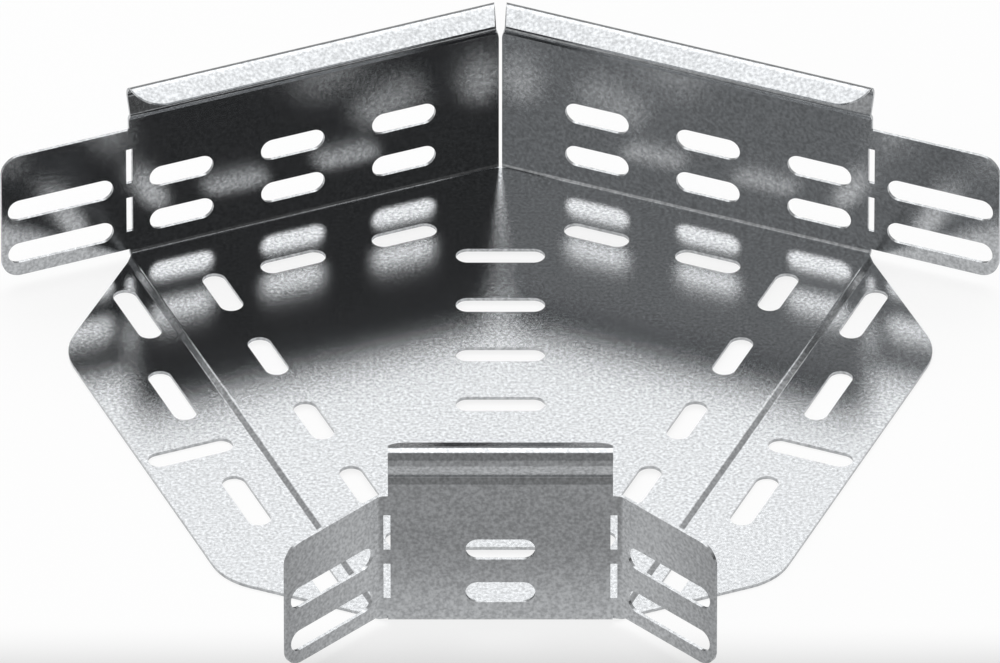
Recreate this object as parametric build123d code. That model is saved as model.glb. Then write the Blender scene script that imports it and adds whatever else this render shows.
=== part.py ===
from build123d import *
import os
from math import atan2, cos, degrees, radians, sin, tan

# Cable tray bend: a flat 45 degree bend for perforated cable tray, folded from one sheet.
#
# The base is a fan between two straight outer walls, which meet at a mitred corner at the back,
# and one short inner wall at the front. Each wall ends in a slotted lug that overlaps the side
# of the next tray, and each mouth of the base in a lowered flange that the next tray lies on.
#
# Millimetres, +Z up, standing on the undersides of the two flanges. The bend is symmetric about
# the YZ plane. It is drawn from the mitred corner, as its right half, and mirrored. There,
# "along" runs from the corner along the outer wall to the mouth, and "across" runs from the
# outer wall to the inner one, square to the wall.

# Sheet and folds
sheet = 1.0
fold_radius = 1.0
bend_angle = 45.0

# The channel
clear_width = 197.9
outer_wall_length = 116.8
flange_drop = 1.0
overall_height = 60.5

# The mitre between the outer walls
wall_mitre_gap = 0.92
edge_mitre_gap = 2.3
top_mitre_gap = 3.7
edge_mitre_taper = 3.0

# The crimped and rolled top edge, measured down from the top and sideways from the wall's face
crimp_below_top = 11.5
crimp_rise = 2.2
crimp_step = 1.4
crimp_radius = 0.4
edge_lean_angle = 21.0
roll_radius = 2.2
roll_overhang = 1.95
hem_slope = 24.5
hem_length = 6.0
outer_hem_corner_radius = 9.5
inner_hem_corner_radius = 6.0

# Round-ended slots in the walls and base
slot_width = 7.0
slot_length = 20.0
long_slot_length = 26.0
slot_pitch = 35.0

# Wall slots, in two rows above the base
wall_slot_count = 3
wall_slot_inset = 16.3
wall_row_height = 9.6
wall_row_pitch = 15.0

# Base slots
side_slot_count = 2
side_slot_inset = 42.2
side_slot_across = 22.3
mouth_slot_count = 5
mouth_slot_inset = 17.4
centre_slot_count = 7
centre_slot_pitch = 25.0
centre_slot_from_inner = 31.3

# The lowered joining flange, measured outwards from the end of the walls
joggle_start = 0.3
joggle_run = 1.75
joggle_radius = 0.6
flange_reach = 36.0
flange_corner_radius = 20.0
near_slot_reach = 15.2
near_slot_spread = 28.5
far_slot_reach = 9.2
far_slot_spread = 70.5
cross_slot_reach = 21.1

# The slotted lugs, measured outwards from the end of the walls and up from the base
lug_length = 40.0
lug_bottom = 1.3
lug_top = 43.25
lug_corner_radius = 6.0
lug_slot_length = 33.0
lug_slot_reach = 21.6
lug_slot_drop = 0.45

# The inner lug is folded outwards. Its root is just beyond the end of the wall's rolled edge
inner_lug_angle = 45.0
inner_lug_root = 0.3
inner_lug_radius = 3.0
inner_lug_fold = 2.7

# Slits that weaken each lug's root, so that it can be bent by hand
slit_width = 2.0
slit_height = 12.0
slit_pitch = 17.0
slit_lowest = 13.6

# Overlap of neighbouring stretches of sheet before they are fused, and reach of the cutters
lap = 1.0
cutter = 8.0

# Heights and places that follow from the sizes
wall_angle = bend_angle / 2
ca = cos(radians(wall_angle))
sa = sin(radians(wall_angle))
floor = flange_drop + sheet
corner_to_inner = outer_wall_length * sa + clear_width * ca
inner_half_length = outer_wall_length * ca - clear_width * sa
centreline = clear_width / 2
lug_slot_height = wall_row_height - lug_slot_drop

# Directions in plan on the right half
along = Vector(ca, -sa, 0)
across = Vector(-sa, -ca, 0)
inner_corner = Vector(0, -corner_to_inner, 0)
up = Vector(0, 0, 1)

# Working planes. In the plan plane x runs along and y back towards the outer wall. The faces of
# the walls are seen from inside the channel, with their origin at the level of the base.
plan = Plane(origin=(0, 0, 0), x_dir=along, z_dir=up)
outer_wall_face = Plane(origin=up * floor, x_dir=along, z_dir=across)
inner_wall_face = Plane(origin=inner_corner + up * floor, x_dir=(1, 0, 0), z_dir=(0, -1, 0))
outer_wall_section = Plane(origin=-along * cutter, x_dir=-across, z_dir=along)
inner_wall_section = Plane(origin=inner_corner, x_dir=(0, -1, 0), z_dir=(-1, 0, 0))
mouth_section = Plane(origin=across * fold_radius, x_dir=along, z_dir=across)


def round_slot(length, width=slot_width):
    """A slot outline with full round ends, lying along x."""
    return SlotOverall(length, width)


def crossing(p, p_angle, q, q_angle):
    """Where the line through p at p_angle meets the line through q at q_angle."""
    px, py = cos(radians(p_angle)), sin(radians(p_angle))
    qx, qy = cos(radians(q_angle)), sin(radians(q_angle))
    reach = ((q[0] - p[0]) * qy - (q[1] - p[1]) * qx) / (px * qy - py * qx)
    return p[0] + reach * px, p[1] + reach * py


def folded_strip(points, bend_radii):
    """Section of a folded sheet: points run along its left face, bend_radii are the inner ones."""
    legs = list(zip(points, points[1:]))
    angles = [degrees(atan2(q[1] - p[1], q[0] - p[0])) for p, q in legs]

    def to_the_right(p, angle):
        return p[0] + sheet * sin(radians(angle)), p[1] - sheet * cos(radians(angle))

    far_points = [to_the_right(points[0], angles[0])]
    near_radii = []
    far_radii = []
    for i, radius in enumerate(bend_radii):
        corner = points[i + 1]
        before = to_the_right(corner, angles[i])
        after = to_the_right(corner, angles[i + 1])
        far_points.append(crossing(before, angles[i], after, angles[i + 1]))
        turns_left = sin(radians(angles[i + 1] - angles[i])) > 0
        near_radii.append(radius if turns_left else radius + sheet)
        far_radii.append(radius + sheet if turns_left else radius)
    far_points.append(to_the_right(points[-1], angles[-1]))

    near = FilletPolyline(*points, radius=near_radii)
    far = FilletPolyline(*far_points, radius=far_radii)
    ends = [Line(points[0], far_points[0]), Line(points[-1], far_points[-1])]
    return make_face(near.edges() + far.edges() + [end.edge() for end in ends])


def wall_section():
    """Section of fold, wall, crimp, roll and hem. x is outwards from the inner face, y is up."""
    outer_roll = roll_radius + sheet
    roll_x = roll_overhang - outer_roll
    roll_y = overall_height - outer_roll
    crimp_y = overall_height - crimp_below_top

    # The lean and the hem both touch the inside of the roll
    lean_angle = 90 - edge_lean_angle
    lean_x = roll_x + roll_radius * cos(radians(edge_lean_angle))
    lean_y = roll_y - roll_radius * sin(radians(edge_lean_angle))
    hem_angle = 180 + hem_slope
    hem_x = roll_x - roll_radius * sin(radians(hem_slope))
    hem_y = roll_y + roll_radius * cos(radians(hem_slope))
    roll_corner = crossing((lean_x, lean_y), lean_angle, (hem_x, hem_y), hem_angle)
    crimp_angle = degrees(atan2(crimp_rise, -crimp_step))
    crimp_corner = crossing((0, crimp_y), crimp_angle, (lean_x, lean_y), lean_angle)
    hem_end = (
        hem_x + hem_length * cos(radians(hem_angle)),
        hem_y + hem_length * sin(radians(hem_angle)),
    )
    return folded_strip(
        [(-2 * fold_radius, floor), (0, floor), (0, crimp_y), crimp_corner, roll_corner, hem_end],
        [fold_radius, crimp_radius, crimp_radius, roll_radius],
    )


def hem_corner(section, run, radius):
    """Cutter that rounds the free corner of a hem. run leads from the section to the wall's end."""
    slope = radians(hem_slope)
    outer_roll = roll_radius + sheet
    edge_x = roll_overhang - outer_roll * (1 + sin(slope)) - hem_length * cos(slope)
    edge_y = overall_height - outer_roll * (1 - cos(slope)) - hem_length * sin(slope)
    edge = section.origin + run + section.x_dir * edge_x + section.y_dir * edge_y
    towards_roll = section.x_dir * cos(slope) + section.y_dir * sin(slope)
    corner = Plane(origin=edge, x_dir=towards_roll, z_dir=run.cross(towards_roll))

    waste = Pos(-lap, -lap) * Rectangle(radius + lap, radius + lap, align=Align.MIN)
    waste -= Pos(radius, radius) * Circle(radius)
    return extrude(corner * waste, amount=1.5 * sheet, both=True)


def base_plate():
    """The raised part of the base, up to the folds of the walls and the step at the mouth."""
    mouth = along * outer_wall_length
    fold_line = corner_to_inner - fold_radius
    reach_across = (fold_line - outer_wall_length * sa) / ca
    corners = [
        Vector(0, -fold_radius / ca, 0),
        mouth + across * fold_radius,
        mouth + across * reach_across,
        Vector(0, -fold_line, 0),
    ]
    outline = make_face(Polyline(*corners, close=True))
    return extrude(Pos(0, 0, flange_drop) * outline, amount=sheet)


def outer_wall():
    """One outer wall with its fold and rolled edge, cut to the mitre."""
    run = along * (outer_wall_length + cutter)
    wall = extrude(outer_wall_section * wall_section(), dir=run, amount=run.length)
    wall -= hem_corner(outer_wall_section, run, outer_hem_corner_radius)

    # The far side of the mitre and the gap are one cutter, which widens at the rolled edge
    taper_top = overall_height - crimp_below_top + edge_mitre_taper / 2
    gap_outline = [
        (-4 * cutter, 0),
        (wall_mitre_gap / 2, 0),
        (wall_mitre_gap / 2, taper_top - edge_mitre_taper),
        (edge_mitre_gap / 2, taper_top),
        (top_mitre_gap / 2, overall_height),
        (top_mitre_gap / 2, 2 * overall_height),
        (-4 * cutter, 2 * overall_height),
    ]
    gap = Plane.XZ * make_face(Polyline(*gap_outline, close=True))
    return wall - extrude(gap, amount=4 * cutter, both=True)


def inner_wall():
    """Right half of the inner wall with its fold and rolled edge."""
    run = Vector(inner_half_length, 0, 0)
    wall = extrude(inner_wall_section * wall_section(), dir=run, amount=run.length)
    return wall - hem_corner(inner_wall_section, run, inner_hem_corner_radius)


def mouth_flange():
    """The step down at the mouth and the plate beyond it, with its chamfers and round corners."""
    root = outer_wall_length - lap
    step = outer_wall_length + joggle_start
    tip = outer_wall_length + flange_reach
    strip = folded_strip(
        [(root, floor), (step, floor), (step + joggle_run, sheet), (tip, sheet)],
        [joggle_radius, joggle_radius],
    )
    strip = extrude(mouth_section * strip, amount=clear_width - 2 * fold_radius)

    near_side = fold_radius
    near_corner = fold_radius + flange_reach
    half_outline = [(root, near_side), (outer_wall_length, near_side), (tip, near_corner)]
    other_half = [(x, clear_width - y) for x, y in reversed(half_outline)]
    outline = make_face(Polyline(*[(x, -y) for x, y in half_outline + other_half], close=True))
    outline = fillet(outline.vertices().group_by(Axis.X)[-1], flange_corner_radius)
    return strip & extrude(plan * outline, amount=2 * floor)


def lug_outline():
    """Face of a lug, flat, with x from the end of the wall and y up from the base."""
    height = lug_top - lug_bottom
    plate = Pos(-lap, lug_bottom) * Rectangle(lug_length + lap, height, align=Align.MIN)
    plate = fillet(plate.vertices().group_by(Axis.X)[-1], lug_corner_radius)
    for row in range(2):
        height = lug_slot_height + row * wall_row_pitch
        plate -= Pos(lug_slot_reach, height) * round_slot(lug_slot_length)
    return plate


def outer_lug():
    """The lug of an outer wall, in line with the wall."""
    return extrude(outer_wall_face * Pos(outer_wall_length, 0) * lug_outline(), amount=-sheet)


def inner_lug():
    """The lug of the inner wall, folded out so that it stands clear of the mouth."""
    turn = radians(inner_lug_angle)
    outer_radius = inner_lug_radius + sheet
    bend_allowance = 2 * outer_radius * tan(turn / 2) - (inner_lug_radius + sheet / 2) * turn
    fold_x = inner_half_length + inner_lug_fold
    flat_start = inner_lug_root + bend_allowance - inner_lug_fold
    leg = lug_length + flat_start
    strip = folded_strip(
        [
            (inner_half_length - lap, -corner_to_inner),
            (fold_x, -corner_to_inner),
            (fold_x + leg * cos(turn), -corner_to_inner - leg * sin(turn)),
        ],
        [inner_lug_radius],
    )
    lug_face = Plane(
        origin=(fold_x, -corner_to_inner, floor),
        x_dir=(cos(turn), -sin(turn), 0),
        z_dir=(-sin(turn), -cos(turn), 0),
    )
    outline = Pos(flat_start, 0) * lug_outline()
    return extrude(strip, amount=overall_height) & extrude(lug_face * outline, amount=cutter, both=True)


def wall_openings(face, slot_places, wall_end):
    """Cutters for the slots of a wall and the slits at the root of its lug."""
    slots = Sketch()
    for row in range(2):
        height = wall_row_height + row * wall_row_pitch
        for place in slot_places:
            slots += Pos(place, height) * round_slot(slot_length)
        slit = Rectangle(slit_width, slit_height)
        slots += Pos(wall_end, slit_lowest + row * slit_pitch) * slit
    return extrude(face * slots, amount=cutter / 2, both=True)


def base_openings():
    """Cutters for the slots of the base and the mouth flange on the right half."""
    slots = Sketch()
    for i in range(side_slot_count):
        place = outer_wall_length - side_slot_inset - i * slot_pitch
        slots += Pos(place, -side_slot_across) * round_slot(slot_length)

    turned = Rot(0, 0, 90)
    for i in range(mouth_slot_count):
        offset_across = (i - (mouth_slot_count - 1) / 2) * slot_pitch
        place = outer_wall_length - mouth_slot_inset
        slots += Pos(place, -centreline - offset_across) * turned * round_slot(slot_length)

    for side in (-1, 1):
        near = (outer_wall_length + near_slot_reach, -centreline + side * near_slot_spread)
        far = (outer_wall_length + far_slot_reach, -centreline + side * far_slot_spread)
        for place in (near, far):
            slots += Pos(*place) * turned * round_slot(long_slot_length)
    slots += Pos(outer_wall_length + cross_slot_reach, -centreline) * round_slot(long_slot_length)
    return extrude(plan * slots, amount=cutter, both=True)


def centre_openings():
    """Cutters for the slots on the line of symmetry."""
    slots = Sketch()
    for i in range(centre_slot_count):
        from_corner = corner_to_inner - centre_slot_from_inner - i * centre_slot_pitch
        slots += Pos(0, -from_corner) * round_slot(long_slot_length)
    return extrude(slots, amount=cutter, both=True)


def tray_bend():
    """The whole bend, with its origin in the middle of its outline, on the resting plane."""
    half = base_plate() + outer_wall() + inner_wall() + mouth_flange() + outer_lug() + inner_lug()
    wall_slot_places = [
        outer_wall_length - wall_slot_inset - i * slot_pitch for i in range(wall_slot_count)
    ]
    half -= wall_openings(outer_wall_face, wall_slot_places, outer_wall_length)
    half -= wall_openings(inner_wall_face, [0], inner_half_length + inner_lug_root)
    half -= base_openings()
    half -= centre_openings()
    whole = half + mirror(half, about=Plane.YZ)
    box = whole.bounding_box()
    return Pos(0, -(box.min.Y + box.max.Y) / 2, -box.min.Z) * whole


os.makedirs("parts", exist_ok=True)
bend = tray_bend()
export_step(bend, "parts/cable_tray_bend.step")
print("cable_tray_bend", len(bend.solids()), "solid", bend.bounding_box())
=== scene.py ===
# %% [markdown]
# A cable tray bend
#
# A flat 45 degree bend for perforated cable tray, folded from one piece of galvanised steel sheet.
# Every surface of the real thing is that sheet, so its shape is all in the CAD model, from the
# slots to the rolled edges, and a mesh made here would only repeat it. The work is the finish of
# the metal, and a studio for it to mirror.

# %% Load the frame
import math

import bpy
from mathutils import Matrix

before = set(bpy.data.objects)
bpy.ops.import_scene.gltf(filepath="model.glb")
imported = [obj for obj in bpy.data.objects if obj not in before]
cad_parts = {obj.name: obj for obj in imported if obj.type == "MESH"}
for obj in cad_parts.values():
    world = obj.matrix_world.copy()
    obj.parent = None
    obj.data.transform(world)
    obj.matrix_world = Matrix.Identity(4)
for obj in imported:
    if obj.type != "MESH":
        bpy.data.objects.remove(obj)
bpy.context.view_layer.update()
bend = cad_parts["cable_tray_bend"]


# %% [markdown]
# Helpers for materials
#
# A material is a small graph of nodes. It could be drawn in the shader editor, but in code every
# setting can be read and changed. One function adds a node, sets it up and links it, so each
# material below reads as a list of what it is made of. Another starts an empty material. The
# third turns a colour as it is seen on a screen (sRGB) into the linear values that Blender
# calculates with.


# %% Helpers for materials
def linear(hex_colour):
    """An sRGB colour such as "8090a0" as linear red, green, blue and alpha, by the sRGB standard."""
    channels = [int(hex_colour[i : i + 2], 16) / 255 for i in (0, 2, 4)]
    return [c / 12.92 if c <= 0.04045 else ((c + 0.055) / 1.055) ** 2.4 for c in channels] + [1.0]


def add_node(tree, kind, inputs=None, **settings):
    """Add a node. An input is given a value, or another node's output to link to."""
    node = tree.nodes.new(kind)
    for name, value in settings.items():
        setattr(node, name, value)
    for name, value in (inputs or {}).items():
        if isinstance(value, bpy.types.NodeSocket):
            tree.links.new(value, node.inputs[name])
        else:
            node.inputs[name].default_value = value
    return node


def new_material(name):
    """An empty material with only its output node."""
    material = bpy.data.materials.new(name)
    material.use_nodes = True
    material.node_tree.nodes.clear()
    output = material.node_tree.nodes.new("ShaderNodeOutputMaterial")
    return material, material.node_tree, output


print("A screen's grey 808080 is", round(linear("808080")[0], 3), "in linear values")

# %% [markdown]
# Galvanised sheet: the grain
#
# The sheet is steel that was dipped in molten zinc while it was still a coil, then cut and folded.
# The zinc froze in small crystals, some a little lighter than others. Single crystals are too fine
# to show, so the grain is drawn as coarse as the patches that the eye sees, about a millimetre. A
# picture of such sheet could be wrapped round the part, but a noise texture runs on over every
# fold without a seam, and its size is set in metres.

# %% Galvanised sheet: the grain
zinc_colour = linear("afb1b3")
grain_size = 0.0010
grain_contrast = 0.22
# One finer layer of noise, at half the strength of the first.
finer_layers = 1.0
finer_strength = 0.5
# The part of the noise's range that becomes the darkest to the lightest grain.
noise_low = 0.3
noise_high = 0.7

zinc, tree, output = new_material("galvanised_sheet")
place = add_node(tree, "ShaderNodeTexCoord").outputs["Object"]
grain = add_node(
    tree,
    "ShaderNodeTexNoise",
    {
        "Vector": place,
        "Scale": 1 / grain_size,
        "Detail": finer_layers,
        "Roughness": finer_strength,
    },
).outputs["Fac"]
brightness = add_node(
    tree,
    "ShaderNodeMapRange",
    {
        "Value": grain,
        "From Min": noise_low,
        "From Max": noise_high,
        "To Min": 1 - grain_contrast,
        "To Max": 1 + grain_contrast,
    },
).outputs["Result"]
colour = add_node(
    tree, "ShaderNodeVectorMath", {0: zinc_colour[:3], "Scale": brightness}, operation="SCALE"
).outputs["Vector"]
print("Grain of", round(grain_size * 1000, 2), "mm, lighter and darker by", grain_contrast)

# %% [markdown]
# Galvanised sheet: the facets
#
# Each crystal's face is tilted its own way by a few degrees, so the sheet mirrors what stands
# around it with soft edges. The shader's roughness blurs too, but its blur has wide, faint skirts
# that lighten the dark parts of the walls. So most of the blur comes from a noise that tilts the
# surface's normal, which has no such skirts. This noise is meant to blur and not to be seen: it is
# about a tenth of a dot of the picture wide, and drawn any coarser it would sparkle.

# %% Galvanised sheet: the facets
facet_size = 0.00003
facet_tilt = 0.22
noise_middle = 0.5

tilt = add_node(
    tree, "ShaderNodeTexNoise", {"Vector": place, "Scale": 1 / facet_size, "Detail": 0.0}
).outputs["Color"]
tilt = add_node(
    tree, "ShaderNodeVectorMath", {0: tilt, 1: [noise_middle] * 3}, operation="SUBTRACT"
).outputs["Vector"]
tilt = add_node(
    tree, "ShaderNodeVectorMath", {0: tilt, "Scale": facet_tilt}, operation="SCALE"
).outputs["Vector"]
facing = add_node(tree, "ShaderNodeNewGeometry").outputs["Normal"]
facing = add_node(tree, "ShaderNodeVectorMath", {0: facing, 1: tilt}, operation="ADD").outputs["Vector"]
facing = add_node(tree, "ShaderNodeVectorMath", {0: facing}, operation="NORMALIZE").outputs["Vector"]
print("Facets tilted by up to", round(math.degrees(facet_tilt * noise_middle), 1), "degrees an axis")

# %% [markdown]
# Galvanised sheet: the metal
#
# Bare zinc is a mirror with a pale grey tint, and nothing lies under its surface to be seen. Blender
# has a shader for bare metal alone. The Principled shader with Metallic at 1 does the same, and its
# default IOR suits a metal. The low roughness stands for the fine texture of the zinc itself. The CAD
# model's mesh already has a slot for its material.

# %% Galvanised sheet: the metal
zinc_roughness = 0.10

metal = add_node(
    tree,
    "ShaderNodeBsdfPrincipled",
    {"Base Color": colour, "Metallic": 1.0, "Roughness": zinc_roughness, "Normal": facing},
)
tree.links.new(metal.outputs["BSDF"], output.inputs["Surface"])

for material_slot in bend.material_slots:
    material_slot.material = zinc
print("Galvanised sheet on", bend.name, "with", len(bend.material_slots), "slot")

# %% [markdown]
# Floor: the disc
#
# The bend stands on a pale floor that seems to have no end. A board with a curved back would hide
# the floor's end from one side only. A very wide disc does it from all sides, and the world beyond
# it gets the same tone.

# %% Floor: the disc
floor_radius = 12.0
floor_corners = 64

bpy.ops.object.select_all(action="DESELECT")
bpy.ops.mesh.primitive_circle_add(vertices=floor_corners, radius=floor_radius, fill_type="NGON")
floor = bpy.context.object
floor.name = "floor"
print("Floor radius:", floor_radius)

# %% [markdown]
# Floor: where it glows, a painted pool of light
#
# The picture's ground is plain white. More light would make it so, but would fall on the metal too.
# So the floor glows, in a painted pool of light around the bend that ends in soft fades. The front
# fade is painted shade: it runs close to the inner wall, mostly below the picture's edge, and darkens
# the floor that the wall mirrors, because a white floor there would make the wall too light. Where
# each fade starts and ends is in metres from the middle of the bend.

# %% Floor: where it glows
# The front fade paints shade on the floor just in front of the inner wall, and the wall mirrors it.
front_painted_shade = (-0.145, -0.10)
back_fade = (0.215, 0.42)
side_fade = (0.15, 0.38)
no_glow = 0.0
full_glow = 1.0

floor_paint, tree, output = new_material("pale_floor")
place = add_node(tree, "ShaderNodeTexCoord").outputs["Object"]
axes = add_node(tree, "ShaderNodeSeparateXYZ", {"Vector": place}).outputs
sideways = add_node(tree, "ShaderNodeMath", {0: axes["X"]}, operation="ABSOLUTE").outputs["Value"]
# A painted pool of light: full glow round the bend, less beyond each fade.
pool = full_glow
for distance, (start, end), glow_before, glow_after in (
    (axes["Y"], front_painted_shade, no_glow, full_glow),
    (axes["Y"], back_fade, full_glow, no_glow),
    (sideways, side_fade, full_glow, no_glow),
):
    fade = add_node(
        tree,
        "ShaderNodeMapRange",
        {
            "Value": distance,
            "From Min": start,
            "From Max": end,
            "To Min": glow_before,
            "To Max": glow_after,
        },
        interpolation_type="SMOOTHSTEP",
    ).outputs["Result"]
    pool = add_node(tree, "ShaderNodeMath", {0: pool, 1: fade}, operation="MULTIPLY").outputs["Value"]
print("The glow reaches", side_fade[1], "m to each side and", back_fade[1], "m back")

# %% [markdown]
# Floor: paint and glow
#
# The glow is only for the camera and for rays that come from a mirror or through glass: the metal
# mirrors a white floor, and nothing else is lit by it. Under it is a grey paint, which takes the
# studio's light and with it the bend's shadow. Paint and glow together come to white in the pool.
# Beyond it a share of the glow stays, so that the far floor is pale grey.

# %% Floor: paint and glow
floor_grey = linear("787878")
pool_glow = 0.82
far_share = 0.46

paint = add_node(tree, "ShaderNodeBsdfDiffuse", {"Color": floor_grey}).outputs["BSDF"]
rays = add_node(tree, "ShaderNodeLightPath").outputs
seen = add_node(
    tree, "ShaderNodeMath", {0: rays["Is Camera Ray"], 1: rays["Is Glossy Ray"]}, operation="MAXIMUM"
).outputs["Value"]
seen = add_node(
    tree, "ShaderNodeMath", {0: seen, 1: rays["Is Transmission Ray"]}, operation="MAXIMUM"
).outputs["Value"]
share = add_node(
    tree, "ShaderNodeMapRange", {"Value": pool, "To Min": far_share, "To Max": full_glow}
).outputs["Result"]
strength = add_node(
    tree, "ShaderNodeMath", {0: seen, 1: share}, operation="MULTIPLY"
).outputs["Value"]
strength = add_node(
    tree, "ShaderNodeMath", {0: strength, 1: pool_glow}, operation="MULTIPLY"
).outputs["Value"]
glow = add_node(tree, "ShaderNodeEmission", {"Strength": strength}).outputs["Emission"]
both = add_node(tree, "ShaderNodeAddShader", {0: paint, 1: glow}).outputs["Shader"]
tree.links.new(both, output.inputs["Surface"])
floor.data.materials.append(floor_paint)
print("Glow of the floor:", pool_glow, "in the pool and", round(pool_glow * far_share, 2), "far off")

# %% [markdown]
# Studio: the camera's side
#
# Bright metal shows its surroundings more than its own colour, so the studio shapes the picture.
# Lamps and white boards could stand around the bend. Here the world draws them instead, by the
# direction that a ray leaves in, so that nothing blocks another view and each edge is as soft as it
# has to be. In a direction, X is to the right, Y away from the camera and Z up, each from -1 to 1.
# A level of 1 is plain white.
#
# The camera's side is dim on the left and nearly dark on the right. The outer walls mirror it by way
# of the base, each wall the other side, so the left wall is the darker one.

# %% Studio: the camera's side
front_turn = (-0.35, 0.35)
front_left_level = 0.60
front_right_level = 0.108

studio = bpy.data.worlds.new("studio")
bpy.context.scene.world = studio
studio.use_nodes = True
tree = studio.node_tree
tree.nodes.clear()
direction = add_node(tree, "ShaderNodeTexCoord").outputs["Generated"]
axes = add_node(tree, "ShaderNodeSeparateXYZ", {"Vector": direction}).outputs
front = add_node(
    tree,
    "ShaderNodeMapRange",
    {
        "Value": axes["X"],
        "From Min": front_turn[0],
        "From Max": front_turn[1],
        "To Min": front_left_level,
        "To Max": front_right_level,
    },
    interpolation_type="SMOOTHSTEP",
).outputs["Result"]
print("Levels on the camera's side:", front_left_level, "left and", front_right_level, "right")

# %% [markdown]
# Studio: the white sheet
#
# A wide white sheet hangs over and behind the bend. It is dim up to 27 degrees above the horizon
# and bright from 41 degrees, and the base mirrors the climb between. A brighter strip runs over the
# sheet's middle, where the inner wall's rolled edge mirrors it. The outer walls' rolled edges
# mirror the sheet beside the strip. Far out to the sides it is dim again.

# %% Studio: the white sheet
# Z is the sine of how far up a direction points.
climb = (0.454, 0.652)
low_level = 0.44
high_level = 1.83
strip_edge = (0.12, 0.24)
strip_level = 2.59
sheet_edge = (0.38, 0.52)
side_level = 0.65

sideways = add_node(tree, "ShaderNodeMath", {0: axes["X"]}, operation="ABSOLUTE").outputs["Value"]
overhead = add_node(
    tree,
    "ShaderNodeMapRange",
    {
        "Value": sideways,
        "From Min": strip_edge[0],
        "From Max": strip_edge[1],
        "To Min": strip_level,
        "To Max": high_level,
    },
    interpolation_type="SMOOTHSTEP",
).outputs["Result"]
behind = add_node(
    tree,
    "ShaderNodeMapRange",
    {
        "Value": axes["Z"],
        "From Min": climb[0],
        "From Max": climb[1],
        "To Min": low_level,
        "To Max": overhead,
    },
    interpolation_type="SMOOTHSTEP",
).outputs["Result"]
sheet = add_node(
    tree,
    "ShaderNodeMapRange",
    {
        "Value": sideways,
        "From Min": sheet_edge[0],
        "From Max": sheet_edge[1],
        "To Min": behind,
        "To Max": side_level,
    },
    interpolation_type="SMOOTHSTEP",
).outputs["Result"]
print("Levels of the sheet:", low_level, "low,", high_level, "high and", strip_level, "in the strip")

# %% [markdown]
# Studio: all around
#
# Just in front of straight up, the camera's side passes into the sheet with a soft edge. Below the
# horizon the world has the tone of the far floor, so no line shows where the floor ends.

# %% Studio: all around
sheet_front_edge = (-0.14, -0.04)
horizon = 0.0
ground_level = 0.54
plain_white = linear("ffffff")
# The Mix node's sockets for two numbers and their mix. Its colour sockets have the same names.
first_number = 2
second_number = 3
mixed_number = 0

sheet_share = add_node(
    tree,
    "ShaderNodeMapRange",
    {"Value": axes["Y"], "From Min": sheet_front_edge[0], "From Max": sheet_front_edge[1]},
    interpolation_type="SMOOTHSTEP",
).outputs["Result"]
level = add_node(
    tree, "ShaderNodeMix", {"Factor": sheet_share, first_number: front, second_number: sheet}
).outputs[mixed_number]
ground_share = add_node(
    tree, "ShaderNodeMath", {0: axes["Z"], 1: horizon}, operation="LESS_THAN"
).outputs["Value"]
level = add_node(
    tree, "ShaderNodeMix", {"Factor": ground_share, first_number: level, second_number: ground_level}
).outputs[mixed_number]
background = add_node(tree, "ShaderNodeBackground", {"Color": plain_white, "Strength": level})
add_node(tree, "ShaderNodeOutputWorld", {"Surface": background.outputs["Background"]})
print("World:", studio.name, "with", len(tree.nodes), "nodes")

# %% [markdown]
# Camera
#
# The photograph has parallel lines of sight, from the front and 35 degrees above. A camera without
# perspective would give just that. A very long lens far away comes within a few pixels of it, and
# still turns around the whole part in other views. The Standard view transform shows a level of 1
# as plain white.

# %% Camera
# These frame the bend as the photograph does.
view_elevation = math.radians(35.02)
camera_distance = 9.0651
aim = (-0.000124, 0.002212, 0.03)
lens_length = 1130
film_width = 36
nearest_seen = 0.1
furthest_seen = 40

# A camera that isn't turned looks straight down, so it is turned up from there.
bpy.ops.object.camera_add(
    location=(
        aim[0],
        aim[1] - camera_distance * math.cos(view_elevation),
        aim[2] + camera_distance * math.sin(view_elevation),
    ),
    rotation=(math.pi / 2 - view_elevation, 0, 0),
)
camera = bpy.context.object
camera.data.sensor_width = film_width
camera.data.lens = lens_length
camera.data.clip_start = nearest_seen
camera.data.clip_end = furthest_seen
bpy.context.scene.camera = camera
bpy.context.scene.view_settings.view_transform = "Standard"
print("Camera at", tuple(round(c, 3) for c in camera.location))
